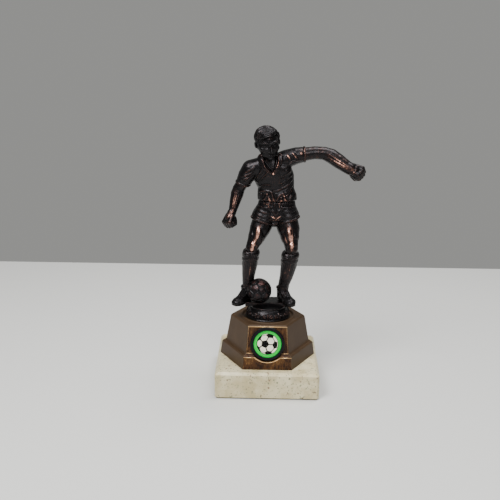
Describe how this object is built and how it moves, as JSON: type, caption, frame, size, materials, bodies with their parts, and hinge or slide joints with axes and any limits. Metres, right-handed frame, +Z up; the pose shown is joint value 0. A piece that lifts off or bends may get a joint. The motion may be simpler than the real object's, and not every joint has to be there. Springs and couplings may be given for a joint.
{
  "type": "football player trophy",
  "caption": "Football player trophy: antique copper figure with ball on a round pedestal, hexagonal plinth with round football disc, and square marble base.",
  "frame": {"origin": "middle of the felt's underside, on the axis of the tie rod", "axes": "+Z up along the tie rod, the figure and the disc face -Y, +X is the figure's left"},
  "size_m": [0.1061, 0.075, 0.1915],
  "materials": {
    "marble": "satin",
    "felt": "matte",
    "steel": "satin",
    "plinth": "satin",
    "adhesive": "matte",
    "disc_black": "gloss",
    "disc_foil": "satin",
    "disc_dome": "gloss",
    "figure": "satin",
    "brass": "satin"
  },
  "bodies": {
    "stand": {"marble_base": "marble", "felt_pad": "felt", "base_washer": "steel", "plinth_shell": "plinth", "disc_backing": "adhesive", "disc_holder": "disc_black", "disc_foil": "disc_foil", "disc_dome": "disc_dome"},
    "figure": {"spring_washer": "steel", "base_nut": "steel", "tie_rod": "steel", "footplate": "figure", "thread_insert": "brass", "ball": "figure", "right_leg": "figure", "left_leg": "figure", "right_arm": "figure", "left_arm": "figure", "shorts": "figure", "shirt": "figure", "head": "figure"}
  },
  "joints": [
    {"name": "figure_swivel", "type": "hinge", "parent": "stand", "child": "figure", "pos_m": [0, 0, 0.051], "axis": [0, 0, 1], "continuous": true}
  ]
}
